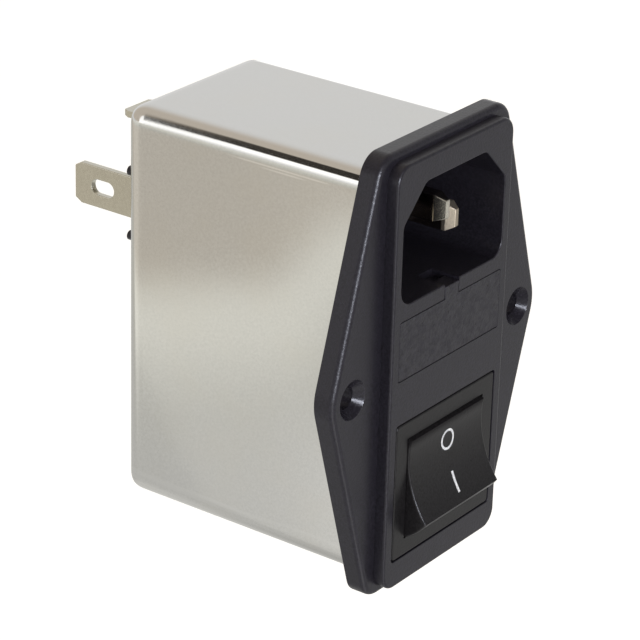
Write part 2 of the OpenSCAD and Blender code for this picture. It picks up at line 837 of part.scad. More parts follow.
// Blade with a foot and a contact button in front of the upper end of the seesaw
module fixed_terminal(x) {
    half = tab_t / 2;
    blade_z = switch_z + seesaw_arm;
    on_y = hinge_y + button_z * (sin(seesaw_tilt) - tan(seesaw_v)) + button_h;
    foot_y = on_y + 0.3 + button_h;
    along_x(x - seesaw_w / 2, x + seesaw_w / 2)
        polygon([[foot_y, blade_z + half], [foot_y, switch_z + button_z - 1.2],
            [foot_y + tab_t, switch_z + button_z - 1.2], [foot_y + tab_t, blade_z - half],
            [board_y, blade_z - half], [board_y, blade_z + half]]);
    rod_y(button_r, x, [foot_y - button_h, foot_y + eps], switch_z + button_z);
}

module left_fixed_terminal() {
    color("#c9c6bd") fixed_terminal(-pole_pitch / 2);
}

module right_fixed_terminal() {
    color("#c9c6bd") fixed_terminal(pole_pitch / 2);
}

// Filter

module filter_board() {
    color("#4f7a4a") difference() {
        along_y(board_y, board_back)
            polygon(rounded(rectangle(body_w, body_h, can_z), same(body_corner, 4)));
        for (x = [-1, 1], z = [-1, 1]) {
            px = x * (body_w / 2 - body_corner);
            pz = can_z + z * (body_h / 2 - body_corner);
            rod_y(post_r / 2 + fit, px, [board_y - 1, board_back + 1], pz);
        }
    }
}

module choke_core() {
    color("#4a4a4c") translate([0, choke_y, choke_z]) rotate([90, 0, 0])
        rotate_extrude() translate([choke_r, 0]) circle(choke_core_r);
}

// Turns of one winding, spread over its side of the ring
module winding() {
    for (a = [-54 : 13.5 : 54]) {
        translate([0, choke_y, choke_z])
            rotate([0, -a, 0])
            translate([choke_r, 0, 0])
            rotate_extrude()
            translate([choke_turn_r, 0])
            circle(choke_wire_r, $fn = 24);
    }
}

module left_winding() {
    color("#b5652b") right_side() winding();
}

module right_winding() {
    color("#b5652b") winding();
}

module x_capacitor() {
    color("#c9b23a")
        along_y(board_back, board_back + xcap_t)
        polygon(rounded(rectangle(xcap_w, xcap_h, body_z0 + 3 + xcap_h / 2), same(0.8, 4)));
}

module y_capacitor(x) {
    rod_x(ycap_r, [x - ycap_t / 2, x + ycap_t / 2], board_back + ycap_r + 0.1, body_z1 - 3.5 - ycap_r);
}

module left_y_capacitor() {
    color("#3e6fa8") y_capacitor(-ycap_pitch / 2);
}

module right_y_capacitor() {
    color("#3e6fa8") y_capacitor(ycap_pitch / 2);
}

module bleed_resistor() {
    half = resistor_l / 2;
    lead = half + 6 * resistor_wire_r;
    z = choke_z + choke_r + choke_turn_r + choke_wire_r + 2 * resistor_r;
    y = board_back + resistor_r + resistor_wire_r / 2;
    color("#c8b48a") {
        rod_x(resistor_r, [-half, half], y, z);
        rod_x(resistor_wire_r, [-lead - resistor_wire_r, lead + resistor_wire_r], y, z);
        for (s = [-1, 1]) rod_y(resistor_wire_r, s * lead, [board_back, y], z);
    }
}

// Tabs

// Flat blade along Y with a slanted tip and a long hole, drawn in Y and Z about its middle
module blade(root, reach, cut) {
    half = tab_w / 2;
    slot_r = 1.15;
    slot_l = 1.8;
    slot_y = reach - 6;
    difference() {
        polygon([[root, -half], [reach - 1.7 * cut, -half], [reach, cut - half], [reach, half - cut],
            [reach - 1.7 * cut, half], [root, half]]);
        translate([slot_y, 0]) circle(slot_r);
        translate([slot_y + slot_l, 0]) circle(slot_r);
        translate([slot_y, -slot_r]) square([slot_l, 2 * slot_r]);
    }
}

module side_tab(x) {
    translate([x, 0, tab_z]) along_x(-tab_t / 2, tab_t / 2) blade(board_back, can_y + tab_reach, 0.65);
}

module left_tab() {
    color("#b4ad9a") side_tab(-tab_pitch / 2);
}

module right_tab() {
    color("#b4ad9a") side_tab(tab_pitch / 2);
}

// Bent up from a foot that is welded to the back of the can
module earth_tab() {
    half = tab_w / 2;
    color("#b4ad9a") {
        translate([0, 0, earth_z])
            rotate([0, 90, 0])
            along_x(-tab_t / 2, tab_t / 2)
            blade(can_y, can_y + earth_reach, 0.5);
        block([-half, half], [can_y, can_y + tab_t], [earth_z - earth_foot, earth_z]);
    }
}

// Outer collar of a left bushing, in the can wall
module bushing_collar(play) {
    half_x = tab_t / 2 + 0.6 + play;
    half_z = tab_w / 2 + 0.6 + play;
    x = -tab_pitch / 2;
    block([x - half_x, x + half_x], [can_y - can_wall - eps, can_y + 0.3], [tab_z - half_z, tab_z + half_z]);
}

module bushing_pegs(play) {
    for (s = [-1, 1]) {
        z = tab_z - peg_drop + s * peg_pitch / 2;
        rod_y(peg_r + play, peg_r - bushing_side, [can_y - can_wall - eps, can_y + peg_h], z);
    }
}

module bushing() {
    x = -tab_pitch / 2;
    back = can_y - can_wall;
    half_z = peg_pitch / 2 + peg_r + peg_drop + 0.4;
    bushing_in = tab_t / 2 + 1.2;
    play = 0.03;
    difference() {
        union() {
            block([-bushing_side, x + bushing_in], [back - 2.2, back], [tab_z - half_z, tab_z + half_z]);
            bushing_collar(0);
            bushing_pegs(0);
        }
        block([x - tab_t / 2 - play, x + tab_t / 2 + play], [back - 3, can_y + 1],
            [tab_z - tab_w / 2 - play, tab_z + tab_w / 2 + play]);
    }
}

module left_bushing() {
    color("#262626") bushing();
}

module right_bushing() {
    color("#262626") right_side() bushing();
}

front_housing();
filter_can();
left_pin();
right_pin();
earth_pin();
earth_strap();
fuse_drawer();
left_fuse_tube();
right_fuse_tube();
left_fuse_caps();
right_fuse_caps();
left_fuse_wire();
right_fuse_wire();
left_rear_contact();
right_rear_contact();
left_front_contact();
right_front_contact();
switch_frame();
rocker();
plungers();
plunger_springs();
left_seesaw();
right_seesaw();
left_common_terminal();
right_common_terminal();
left_fixed_terminal();
right_fixed_terminal();
filter_board();
choke_core();
left_winding();
right_winding();
x_capacitor();
left_y_capacitor();
right_y_capacitor();
bleed_resistor();
left_tab();
right_tab();
earth_tab();
left_bushing();
right_bushing();
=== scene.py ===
"""Looks of the power entry module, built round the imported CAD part.

Sizes are in millimetres until a mesh is made, with X across the panel, Y into it and Z up.
"""

import functools
import json
import math

import bmesh
import bpy
from mathutils import Matrix, Vector


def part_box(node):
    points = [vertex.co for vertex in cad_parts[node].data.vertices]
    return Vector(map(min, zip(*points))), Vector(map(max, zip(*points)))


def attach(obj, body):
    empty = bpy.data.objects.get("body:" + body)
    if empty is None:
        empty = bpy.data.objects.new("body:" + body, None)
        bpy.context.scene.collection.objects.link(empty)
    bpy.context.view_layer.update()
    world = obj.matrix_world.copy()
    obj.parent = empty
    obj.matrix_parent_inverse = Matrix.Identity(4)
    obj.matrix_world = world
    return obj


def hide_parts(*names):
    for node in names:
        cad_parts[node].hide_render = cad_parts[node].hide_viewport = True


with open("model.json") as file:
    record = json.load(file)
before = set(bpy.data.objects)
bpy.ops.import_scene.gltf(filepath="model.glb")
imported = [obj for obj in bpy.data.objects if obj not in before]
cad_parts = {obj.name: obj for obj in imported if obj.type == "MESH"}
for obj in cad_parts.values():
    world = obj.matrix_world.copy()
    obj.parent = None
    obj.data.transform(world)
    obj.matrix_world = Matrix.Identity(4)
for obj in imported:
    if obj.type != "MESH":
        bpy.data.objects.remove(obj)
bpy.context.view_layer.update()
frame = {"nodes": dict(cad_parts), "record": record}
scene = bpy.context.scene
MM = 0.001


# Sizes that the boxes of the CAD nodes give

def cad_box(node):
    """Lowest and highest corner of a CAD node, in millimetres."""
    return [[round(value / MM, 3) for value in corner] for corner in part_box(node)]


(_, FACE_Y, FLANGE_Z0), (_, _, FLANGE_Z1) = cad_box("front_housing")
(_, CAN_FRONT, CAN_Z0), (CAN_X, CAN_BACK, CAN_Z1) = cad_box("filter_can")
(_, _, DRAWER_LOW), (DRAWER_X, DRAWER_END, PULL_TOP) = cad_box("fuse_drawer")
(_, _, SWITCH_LOW), (SWITCH_X, SWITCH_END, SWITCH_HIGH) = cad_box("switch_frame")
SWITCH_Z = (SWITCH_LOW + SWITCH_HIGH) / 2
# The filter board has the outline of the moulding's inner body
(_, _, BODY_Z0), (BODY_X, _, BODY_Z1) = cad_box("filter_board")


# Sizes repeated from the CAD source, where X stands for half a width

FLANGE_T, FLANGE_X, FLANGE_END_X, FLANGE_R, EAR_R = 3.1, 24.55, 14.96, 3.5, 7.0
SCREW_X, SCREW_R, HEAD_R = 20.0, 1.65, 2.85
FACE_X, FACE_Z0, FACE_Z1, FACE_R = 13.76, -31.6, 31.3, 2.6
BODY_END, BODY_R = 14.1, 1.7
INLET_X, INLET_LOW, INLET_HIGH, INLET_END = 12.1, 11.1, 27.7, 12.1
INLET_CUT, INLET_R, INLET_CUT_R = 5.0, 2.4, 1.5
DRAWER_Z, DRAWER_BACK, DRAWER_PLAY, PULL_X = 4.5, -2.5, 0.12, 1.65
DRAWER_HIGH = 2 * DRAWER_Z - DRAWER_LOW
BAY_END, BAY_BACK, BAY_SIDE, BAY_WALL = 19.75, 21.15, 0.6, 1.2
BAY_X, BAY_LOW, BAY_HIGH = DRAWER_X + DRAWER_PLAY, DRAWER_LOW - DRAWER_PLAY, DRAWER_HIGH + DRAWER_PLAY
FUSE_X, TROUGH_R, TROUGH_TOP_X, CONTACT_WAY_X, TROUGH_WALL = 6.2, 2.7, 2.4, 1.35, 0.7
FRAME_BACK, SWITCH_GAP, SWITCH_BODY_X, SWITCH_BODY_Z, SWITCH_FLOOR = -3.3, 0.2, 10.9, 9.65, 1.6
SWITCH_BODY_PLAY = 0.15
ROCKER_X, ROCKER_R, ROCKER_GAP, ROCKER_FOOT, ROCKER_TILT, PIVOT_Y = 9.05, 8.3, 0.15, 2.75, -14.0, -1.44
DISH_R, DISH_SET = 15.25, 4.28
CAN_R, CAN_WALL = 2.2, 0.5


# Sizes of the scene's own fine detail

FLANGE_EDGE, FLANGE_BACK_EDGE, FACE_EDGE, BODY_EDGE = 0.85, 0.12, 0.4, 0.2
INLET_EDGE, BAY_EDGE, SEAT_EDGE, SINK_EDGE, SINK_LIP = 0.2, 0.04, 0.1, 0.06, 0.02
DRAWER_EDGE, PULL_EDGE, FRAME_EDGE, ROCKER_EDGE = 0.04, 0.12, 0.25, 0.3
BAY_R, SEAT_R, DRAWER_R, PULL_R, FRAME_R = 0.35, 0.5, 0.3, 0.2, 0.6
DRAWER_FRONT_X, PULL_SHIFT = DRAWER_X + 0.08, 0.09
# A bend of the can starts at CAN_REACH from the corner, and a higher power makes it squarer
CAN_REACH, CAN_RIGHT_SHARE, CAN_POWER, CAN_LOW_LEFT_POWER = 3.3, 0.75, 3.1, 2.85
# Depths of the rings along the straight walls of the can
CAN_RINGS = (37.7, 37.0, 30.0, 20.0, 10.0, CAN_FRONT)
PIN_EDGE, EARTH_EDGE, TAB_EDGE, BUSHING_EDGE = 0.05, 0.12, 0.14, 0.3
# The earth pin's taper ends at the first depth in the CAD part and at the second one here
EARTH_TAPER = (-2.4, -1.95)
# The two signs on the rocker: how far they stand out and reach in, their middles and their sizes
MARK_PROUD, MARK_SUNK = -0.012, 0.06
OFF_MARK_AT, OFF_MARK_RADII, OFF_MARK_STRETCH = (0.3, 3.07), (1.15, 1.25, 1.35, 1.5), (1.04, 1.02)
ON_MARK_AT, ON_MARK_X, ON_MARK_Z = (0.4, -3.25), 0.23, 1.55
# Cutters reach past the faces that they open and blocks reach into each other, while small steps
# keep the faces of two cutters out of one plane
PAST, STEP, INTO, HAIR = 1.0, 0.1, 0.5, 0.0001


# Outlines in X and Z

def corner_arc(a, b, c, radius, n):
    """Points of the rounded corner b on an outline that runs a, b, c counter-clockwise."""
    u, v = (a - b).normalized(), (c - b).normalized()
    half = u.angle(v) / 2
    middle = b + (u + v).normalized() * (radius / math.sin(half))
    start = b + u * (radius / math.tan(half)) - middle
    first = math.atan2(start.y, start.x)
    angles = [first + (math.pi - 2 * half) * i / n for i in range(n + 1)]
    return [middle + radius * Vector((math.cos(a), math.sin(a))) for a in angles]


def inset(points, d):
    """The outline with its sides moved in by d."""
    k = len(points)
    out = []
    for i, b in enumerate(points):
        u, v = (points[i - 1] - b).normalized(), (points[(i + 1) % k] - b).normalized()
        out.append(b + (u + v).normalized() * (d / math.sin(u.angle(v) / 2)))
    return out


def rounded(points, radii, d, n):
    """The outline moved in by d, with its corners rounded."""
    least = 0.02
    points = [Vector(p) for p in points]
    if d:
        points = inset(points, d)
    k = len(points)
    out = []
    for i in range(k):
        out += corner_arc(points[i - 1], points[i], points[(i + 1) % k], max(radii[i] - d, least), n)
    return out


def rectangle(half, z0, z1):
    return [(-half, z0), (half, z0), (half, z1), (-half, z1)]


def circle(radius, n):
    angles = [2 * math.pi * i / n for i in range(n)]
    return [(radius * math.cos(a), radius * math.sin(a)) for a in angles]


def quarter(steps):
    """Pairs of inset and setback along a quarter round of radius 1."""
    angles = [math.pi / 2 * i / steps for i in range(steps + 1)]
    return [(1 - math.cos(a), 1 - math.sin(a)) for a in angles]


def eased_quarter(power, steps):
    """The same for a bend that starts and ends gently, as in drawn sheet."""
    angles = [math.pi / 2 * i / steps for i in range(steps)]
    pairs = [(1 - math.cos(a) ** (2 / power), 1 - math.sin(a) ** (2 / power)) for a in angles]
    return pairs + [(1.0, 0.0)]


# Closed meshes

def new_object(name, bm):
    bmesh.ops.recalc_face_normals(bm, faces=bm.faces)
    mesh = bpy.data.meshes.new(name)
    bm.to_mesh(mesh)
    bm.free()
    obj = bpy.data.objects.new(name, mesh)
    scene.collection.objects.link(obj)
    return obj


def loft(name, rings, closed=False):
    """A solid through rings with the same count of points, with caps or closed to a ring."""
    bm = bmesh.new()
    made = [[bm.verts.new(Vector(p) * MM) for p in ring] for ring in rings]
    k = len(rings[0])
    following = made[1:] + made[:1] if closed else made[1:]
    for a, b in zip(made, following):
        for i in range(k):
            j = (i + 1) % k
            bm.faces.new((a[i], a[j], b[j], b[i]))
    if not closed:
        bm.faces.new(made[0])
        bm.faces.new(list(reversed(made[-1])))
    return new_object(name, bm)


def ring_at(points, radii, d, y, n):
    return [(p.x, y, p.y) for p in rounded(points, radii, d, n)]


def plate(name, points, radii, front, back, edge, n, steps, back_edge=0.0):
    """An outline between two depths, with a rounded front edge and, if given, a rounded back edge."""
    rings = [ring_at(points, radii, 0, back, n)]
    if back_edge:
        rings = [ring_at(points, radii, back_edge * inward, back - back_edge * setback, n)
                 for inward, setback in reversed(quarter(3))]
    for inward, setback in quarter(steps):
        rings.append(ring_at(points, radii, edge * inward, front + edge * setback, n))
    return loft(name, rings)


def mouth(name, points, radii, deep, edge, n, steps):
    """A cutter for an opening in the raised face whose front edge is softened."""
    rings = [ring_at(points, radii, 0, deep, n)]
    for inward, setback in quarter(steps):
        rings.append(ring_at(points, radii, -edge * inward, FACE_Y + edge * setback, n))
    rings.append(ring_at(points, radii, -edge, FACE_Y - 2 * PAST, n))
    return loft(name, rings)


def turned_y(name, profile, x, z, n):
    """A solid of revolution along Y through pairs of radius and depth."""
    return loft(name, [[(x + u, y, z + v) for u, v in circle(radius, n)] for radius, y in profile])


def turned_x(name, radius, half, y, z, n):
    """A cylinder along X."""
    return loft(name, [[(x, y + u, z + v) for u, v in circle(radius, n)] for x in (-half, half)])


def box(name, x, y, z):
    """A block between pairs of limits."""
    return loft(name, [[(x[0], v, z[0]), (x[1], v, z[0]), (x[1], v, z[1]), (x[0], v, z[1])] for v in y])


def settled(obj):
    """The object with its modifiers worked into its mesh."""
    bpy.context.view_layer.update()
    mesh = bpy.data.meshes.new_from_object(obj.evaluated_get(bpy.context.evaluated_depsgraph_get()))
    obj.modifiers.clear()
    obj.data = mesh
    return obj


def combine(obj, others, operation):
    """Joins other solids to an object or cuts them from it, and removes them."""
    for other in others:
        modifier = obj.modifiers.new("cut", "BOOLEAN")
        modifier.operation, modifier.solver, modifier.object = operation, "EXACT", other
    settled(obj)
    for other in others:
        bpy.data.objects.remove(other)


def soften(obj, width, angle, segments=3):
    """Bevels the edges that are sharper than an angle."""
    modifier = obj.modifiers.new("edges", "BEVEL")
    modifier.width, modifier.segments = width * MM, segments
    modifier.limit_method, modifier.angle_limit = "ANGLE", math.radians(angle)
    modifier.use_clamp_overlap = True
    return settled(obj)


def copied(node, width, angle=35, taper=None):
    """A copy of a CAD node's mesh with clean faces, softened edges and, if given, a longer taper."""
    same_place, same_depth, flat = 0.002 * MM, 0.01 * MM, math.radians(1)
    bm = bmesh.new()
    bm.from_mesh(frame["nodes"][node].data)
    bmesh.ops.remove_doubles(bm, verts=bm.verts, dist=same_place)
    bmesh.ops.dissolve_limit(bm, angle_limit=flat, verts=bm.verts, edges=bm.edges)
    if taper:
        was, now = taper
        for vert in bm.verts:
            if abs(vert.co.y - was * MM) < same_depth:
                vert.co.y = now * MM
    return soften(new_object(node + "_soft", bm), width, angle)


# Building a node tree

class Nodes:
    """The node tree of a material or world, with short names for building it."""

    def __init__(self, owner):
        owner.use_nodes = True
        self.owner = owner
        self.tree = owner.node_tree
        self.tree.nodes.clear()

    def wire(self, node, inputs):
        """Sets a node's inputs: a socket is linked, and a constant goes on the input itself."""
        for key, value in inputs.items():
            if isinstance(value, bpy.types.NodeSocket):
                self.tree.links.new(value, node.inputs[key])
            else:
                node.inputs[key].default_value = value

    def add(self, kind, inputs=None, **settings):
        node = self.tree.nodes.new(kind)
        for key, value in settings.items():
            setattr(node, key, value)
        self.wire(node, inputs or {})
        return node

    def math(self, operation, a, b=0.0):
        return self.add("ShaderNodeMath", {0: a, 1: b}, operation=operation).outputs[0]

    def plus(self, *values):
        return functools.reduce(functools.partial(self.math, "ADD"), values)

    def times(self, *values):
        return functools.reduce(functools.partial(self.math, "MULTIPLY"), values)

    def minus(self, a, b):
        return self.math("SUBTRACT", a, b)

    def length(self, a, b):
        return self.math("SQRT", self.plus(self.times(a, a), self.times(b, b)))

    def ramp(self, value, low, high, start=0.0, end=1.0, smooth=True):
        """From start to end while the value goes from low to high."""
        limits = {"Value": value, "From Min": low, "From Max": high, "To Min": start, "To Max": end}
        kind = "SMOOTHSTEP" if smooth else "LINEAR"
        return self.add("ShaderNodeMapRange", limits, interpolation_type=kind).outputs["Result"]

    def fall(self, value, low, high):
        return self.ramp(value, low, high, 1.0, 0.0)

    def between(self, value, rising, falling):
        """One between two limits, each given as the range over which it fades."""
        return self.times(self.ramp(value, *rising), self.fall(value, *falling))

    def share(self, factor, least):
        """One where the factor is 0, down to least where it is 1."""
        return self.ramp(factor, 0.0, 1.0, 1.0, least, False)

    def fade(self, factor, a, b):
        """From a to b by a factor."""
        return self.plus(self.times(a, self.minus(1.0, factor)), self.times(factor, b))

    def mix(self, factor, a, b):
        """From colour a to colour b by a factor."""
        return self.add("ShaderNodeMix", {0: factor, 6: a, 7: b}, data_type="RGBA").outputs[2]

    def split(self, vector):
        return self.add("ShaderNodeSeparateXYZ", {0: vector}).outputs

    def dot(self, a, b):
        return self.add("ShaderNodeVectorMath", {0: a, 1: b}, operation="DOT_PRODUCT").outputs["Value"]

    def coordinates(self, kind):
        return self.add("ShaderNodeTexCoord").outputs[kind]

    def place(self, scale):
        """Object coordinates, scaled per axis."""
        inputs = {"Vector": self.coordinates("Object"), "Scale": scale}
        return self.add("ShaderNodeMapping", inputs).outputs["Vector"]

    def millimetres(self):
        """Object coordinates in millimetres, axis by axis."""
        return self.split(self.place((1 / MM, 1 / MM, 1 / MM)))

    def noise(self, scale, detail=3.0, rough=0.5, stretch=(1, 1, 1)):
        place = self.place(tuple(scale * s for s in stretch))
        inputs = {"Vector": place, "Scale": 1.0, "Detail": detail, "Roughness": rough}
        return self.add("ShaderNodeTexNoise", inputs).outputs["Fac"]

    def bump(self, strength, distance, height):
        return self.add("ShaderNodeBump", {"Strength": strength, "Distance": distance, "Height": height})


# Materials

# The shader's usual level of specular light
GLOSS = 0.5


class Finish(Nodes):
    """A material with one principled shader."""

    def __init__(self, name):
        super().__init__(bpy.data.materials.new(name))
        self.shader = self.add("ShaderNodeBsdfPrincipled")
        self.add("ShaderNodeOutputMaterial", {"Surface": self.shader.outputs["BSDF"]})

    def set(self, **inputs):
        """Sets inputs of the shader, with _ for the spaces in their names."""
        self.wire(self.shader, {key.replace("_", " "): value for key, value in inputs.items()})

    def source(self, key):
        """The socket that is linked to an input of the shader."""
        return self.shader.inputs[key].links[0].from_socket


def shade(colour, factor):
    return tuple(min(1.0, c * factor) for c in colour[:3]) + (1.0,)


def plastic(name, colour, rough=0.42, grain=3600.0, bump=0.3, depth=0.00004, spread=0.06, ior=1.5):
    """Moulded plastic with a fine satin grain and faint broad variation."""
    n = Finish(name)
    fine = n.noise(grain, rough=0.6)
    broad = n.noise(120.0)
    tone = n.mix(n.ramp(fine, 0.3, 0.7), shade(colour, 0.65), shade(colour, 1.45))
    n.set(Base_Color=n.mix(n.ramp(broad, 0.35, 0.65, 0.0, 0.5), tone, colour), IOR=ior)
    n.set(Roughness=n.ramp(fine, 0.2, 0.8, rough - spread, rough + spread))
    n.set(Normal=n.bump(bump, depth, fine).outputs["Normal"])
    return n


def housing_plastic(name):
    """Plastic of the front moulding, smoother and less bright in the two screw seats."""
    bump, soft = 0.6, 0.1
    smoother, seat_gloss, seat_bump = 0.09, 0.21, 0.3
    n = plastic(name, (0.0165, 0.0153, 0.0222, 1), 0.34, 3000.0, bump, 0.00005, ior=1.36)
    x, _, z = n.millimetres()
    from_screw = n.length(n.minus(n.math("ABSOLUTE", x), SCREW_X), z)
    rim = (HEAD_R - soft, HEAD_R + soft)
    n.set(Roughness=n.minus(n.source("Roughness"), n.ramp(from_screw, *rim, smoother, 0.0)))
    n.set(Specular_IOR_Level=n.ramp(from_screw, *rim, seat_gloss, GLOSS))
    n.wire(n.source("Normal").node, {"Strength": n.ramp(from_screw, *rim, seat_bump * bump, bump)})
    return n


def drawer_plastic(name):
    """Plastic of the drawer front, with a coarse mottled gloss."""
    mottle = 0.13
    n = plastic(name, (0.0168, 0.0157, 0.023, 1), 0.36, 2300.0, 0.7, 0.00006, 0.1, 1.36)
    patches = n.noise(1100.0, 4.0, 0.7)
    n.set(Specular_IOR_Level=n.ramp(patches, 0.36, 0.64, GLOSS - mottle, GLOSS + mottle))
    return n


def switch_plastic(name):
    """Plastic of the switch frame, with painted shade inside its opening."""
    shaded_from, fading, shaded_gloss = -4.6, 0.5, 0.08
    n = plastic(name, (0.0112, 0.0106, 0.0118, 1), 0.34, 3000.0, 0.5, ior=1.32)
    _, y, _ = n.millimetres()
    # Painted shade: gloss turned down behind the front face, inside the opening
    n.set(Specular_IOR_Level=n.ramp(y, shaded_from, shaded_from + fading, GLOSS, shaded_gloss))
    return n


def rocker_plastic(name):
    """Plastic of the rocker, with painted shade on its upper round end and near its face's upper edge."""
    gap_shade_gloss, frame_shadow_edge, frame_shadow_share = 0.03, (5.6, 7.2), 0.1
    end_skin, upper_half = (ROCKER_R - 0.12, ROCKER_R - 0.03), (-1.0, 1.0)
    n = plastic(name, (0.0122, 0.0115, 0.0129, 1), 0.33, 3000.0, 0.5, ior=1.315)
    _, y, z = n.millimetres()
    height = n.minus(z, SWITCH_Z)
    reach = n.length(n.minus(y, PIVOT_Y), height)
    # Painted shade: gloss turned down on the upper round end for the gap's shade, and near the face's upper
    # edge for the frame's shadow
    end = n.times(n.ramp(reach, *end_skin), n.ramp(height, *upper_half))
    gloss = n.ramp(end, 0.0, 1.0, GLOSS, gap_shade_gloss)
    n.set(Specular_IOR_Level=n.times(gloss, n.ramp(height, *frame_shadow_edge, 1.0, frame_shadow_share)))
    return n


def metal(name, colour, rough, grain=3000.0, bump=0.05, spread=0.06, strength=0.04, depth=0.00003):
    """Plated or bare metal with a faint grain."""
    n = Finish(name)
    fine = n.noise(grain, rough=0.6)
    broad = n.noise(140.0, 2.0)
    tone = n.mix(n.ramp(fine, 0.3, 0.7), shade(colour, 1 - strength), shade(colour, 1 + strength))
    n.set(Base_Color=n.mix(n.ramp(broad, 0.3, 0.7, 0.0, 0.5), tone, shade(colour, 0.98)), Metallic=1.0)
    n.set(Roughness=n.ramp(fine, 0.2, 0.8, rough - spread / 2, rough + spread / 2))
    n.set(Normal=n.bump(bump, depth, fine).outputs["Normal"])
    return n


def pin_metal(name, colour, rough, spread, strength, tip):
    """Metal of an inlet pin, polished behind the depth at which its coined tip ends."""
    fading, polish = 0.4, 0.25
    n = metal(name, colour, rough, 5200.0, 0.3, spread, strength)
    _, y, _ = n.millimetres()
    n.set(Roughness=n.times(n.source("Roughness"), n.ramp(y, tip, tip + fading, 1.0, polish)))
    return n


# Height, start and end of each fine scratch along the can
SCRATCHES = ((26.62, 5.0, 24.0), (26.2, 9.0, 19.0))


def nickel_sheet(name, colour):
    """Deep drawn sheet with bright nickel: specks, faint clouds, marks of the draw and fine scratches."""
    fade_in, fade_out, line_edge, line_strength = 3.0, 5.0, (0.05, 0.16), 0.8
    n = Finish(name)
    _, y, z = n.millimetres()
    speck = n.noise(2500.0, 4.0, 0.7)
    cloud = n.noise(75.0, 4.0, 0.6)
    draw = n.noise(900.0, 3.0, 0.6, (1, 0.03, 1))
    low, roof = n.fall(z, -29.0, -22.0), n.ramp(z, 27.0, 29.2)
    warm = tuple(c * w for c, w in zip(colour, (1.0, 0.985, 0.95, 1.0)))
    tone = n.mix(n.ramp(speck, 0.3, 0.7), shade(colour, 0.955), shade(colour, 1.045))
    tone = n.mix(n.times(roof, 0.75), tone, shade(colour, 0.985))
    tone = n.mix(n.ramp(cloud, 0.4, 0.75, 0.0, 0.5), tone, warm)
    tone = n.mix(n.times(low, n.ramp(draw, 0.45, 0.65)), tone, shade(colour, 1.06))
    for height, start, end in SCRATCHES:
        line = n.ramp(n.math("ABSOLUTE", n.minus(z, height)), *line_edge, line_strength, 0.0)
        line = n.times(line, n.between(y, (start, start + fade_in), (end - fade_out, end)))
        tone = n.mix(n.times(line, n.ramp(draw, 0.35, 0.6)), tone, shade(colour, 1.3))
    waves = n.bump(0.06, 0.0004, n.noise(60.0, 2.0))
    pits = n.bump(0.035, 0.00002, speck)
    n.wire(pits, {"Normal": waves.outputs["Normal"]})
    n.set(Base_Color=tone, Metallic=1.0, Normal=pits.outputs["Normal"])
    n.set(Roughness=n.ramp(speck, 0.35, 0.7, 0.08, 0.1))
    return n


def glass(name, colour):
    """Clear glass with a faint haze."""
    n = Finish(name)
    haze = n.noise(900.0, 2.0)
    n.set(Base_Color=n.mix(n.ramp(haze, 0.3, 0.7), shade(colour, 0.97), colour))
    n.set(Roughness=n.ramp(haze, 0.3, 0.7, 0.02, 0.06), Transmission_Weight=1.0, IOR=1.5)
    return n


# Each finish by its maker, colour and roughness, and what else the maker takes
FINISHES = {
    "black_plastic": (housing_plastic,),
    "drawer_plastic": (drawer_plastic,),
    "switch_plastic": (switch_plastic,),
    "rocker_plastic": (rocker_plastic,),
    "nickel_can": (nickel_sheet, (0.613, 0.607, 0.588, 1)),
    "plated_brass": (metal, (0.525, 0.503, 0.427, 1), 0.2),
    "pin_brass": (pin_metal, (0.84, 0.735, 0.575, 1), 0.42, 0.1, 0.1, 1.1),
    "earth_brass": (pin_metal, (0.58, 0.55, 0.48, 1), 0.17, 0.08, 0.12, -2.0),
    "contact_brass": (metal, (0.72, 0.45, 0.18, 1), 0.25),
    "tinned_terminal": (metal, (0.66, 0.64, 0.6, 1), 0.25),
    "fuse_cap": (metal, (0.68, 0.66, 0.61, 1), 0.15),
    "fuse_wire": (metal, (0.6, 0.58, 0.52, 1), 0.25),
    "spring_steel": (metal, (0.55, 0.55, 0.54, 1), 0.22),
    "winding_copper": (metal, (0.62, 0.22, 0.06, 1), 0.25),
    "plunger_plastic": (plastic, (0.69, 0.66, 0.55, 1), 0.45),
    "board": (plastic, (0.05, 0.17, 0.06, 1), 0.35),
    "ferrite": (plastic, (0.06, 0.06, 0.062, 1), 0.6),
    "x_capacitor_case": (plastic, (0.6, 0.43, 0.03, 1), 0.35),
    "y_capacitor_coat": (plastic, (0.03, 0.14, 0.4, 1), 0.2),
    "resistor_body": (plastic, (0.55, 0.42, 0.22, 1), 0.35),
    "fuse_glass": (glass, (0.93, 0.96, 0.96, 1)),
    "mark_paint": (plastic, (0.82, 0.86, 0.96, 1), 0.5, 3200.0, 0.1),
}
MATERIALS = {name: make(name, *values).owner for name, (make, *values) in FINISHES.items()}
SLOT_OF = {s["node"]: s["material_slot"] for s in frame["record"]["subparts"]}
BODY_OF = {node: body for body, nodes in frame["record"]["behaviour"]["bodies"].items() for node in nodes}


def dress(obj, material):
    obj.data.materials.clear()
    obj.data.materials.append(MATERIALS[material])


def smooth(obj, angle):
    """Smooth shading with the edges above an angle kept sharp."""
    obj.data.polygons.foreach_set("use_smooth", [True] * len(obj.data.polygons))
    obj.data.set_sharp_from_angle(angle=math.radians(angle))


def finished(obj, node, angle=32, material=None):
    """Shades a piece, gives it the node's finish or another one and lets it stand for that node."""
    smooth(obj, angle)
    modifier = obj.modifiers.new("flat faces", "WEIGHTED_NORMAL")
    modifier.keep_sharp = True
    dress(obj, material or SLOT_OF[node])
    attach(obj, BODY_OF[node])
    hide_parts(node)


# Front moulding

def flange_outline():
    slope = math.atan(2 * (FLANGE_X - FLANGE_END_X) / (FLANGE_Z1 - FLANGE_Z0))
    ear = FLANGE_X + EAR_R * (1 / math.cos(slope) - 1)
    end = FLANGE_END_X
    return [(-end, FLANGE_Z0), (end, FLANGE_Z0), (ear, 0), (end, FLANGE_Z1), (-end, FLANGE_Z1), (-ear, 0)]


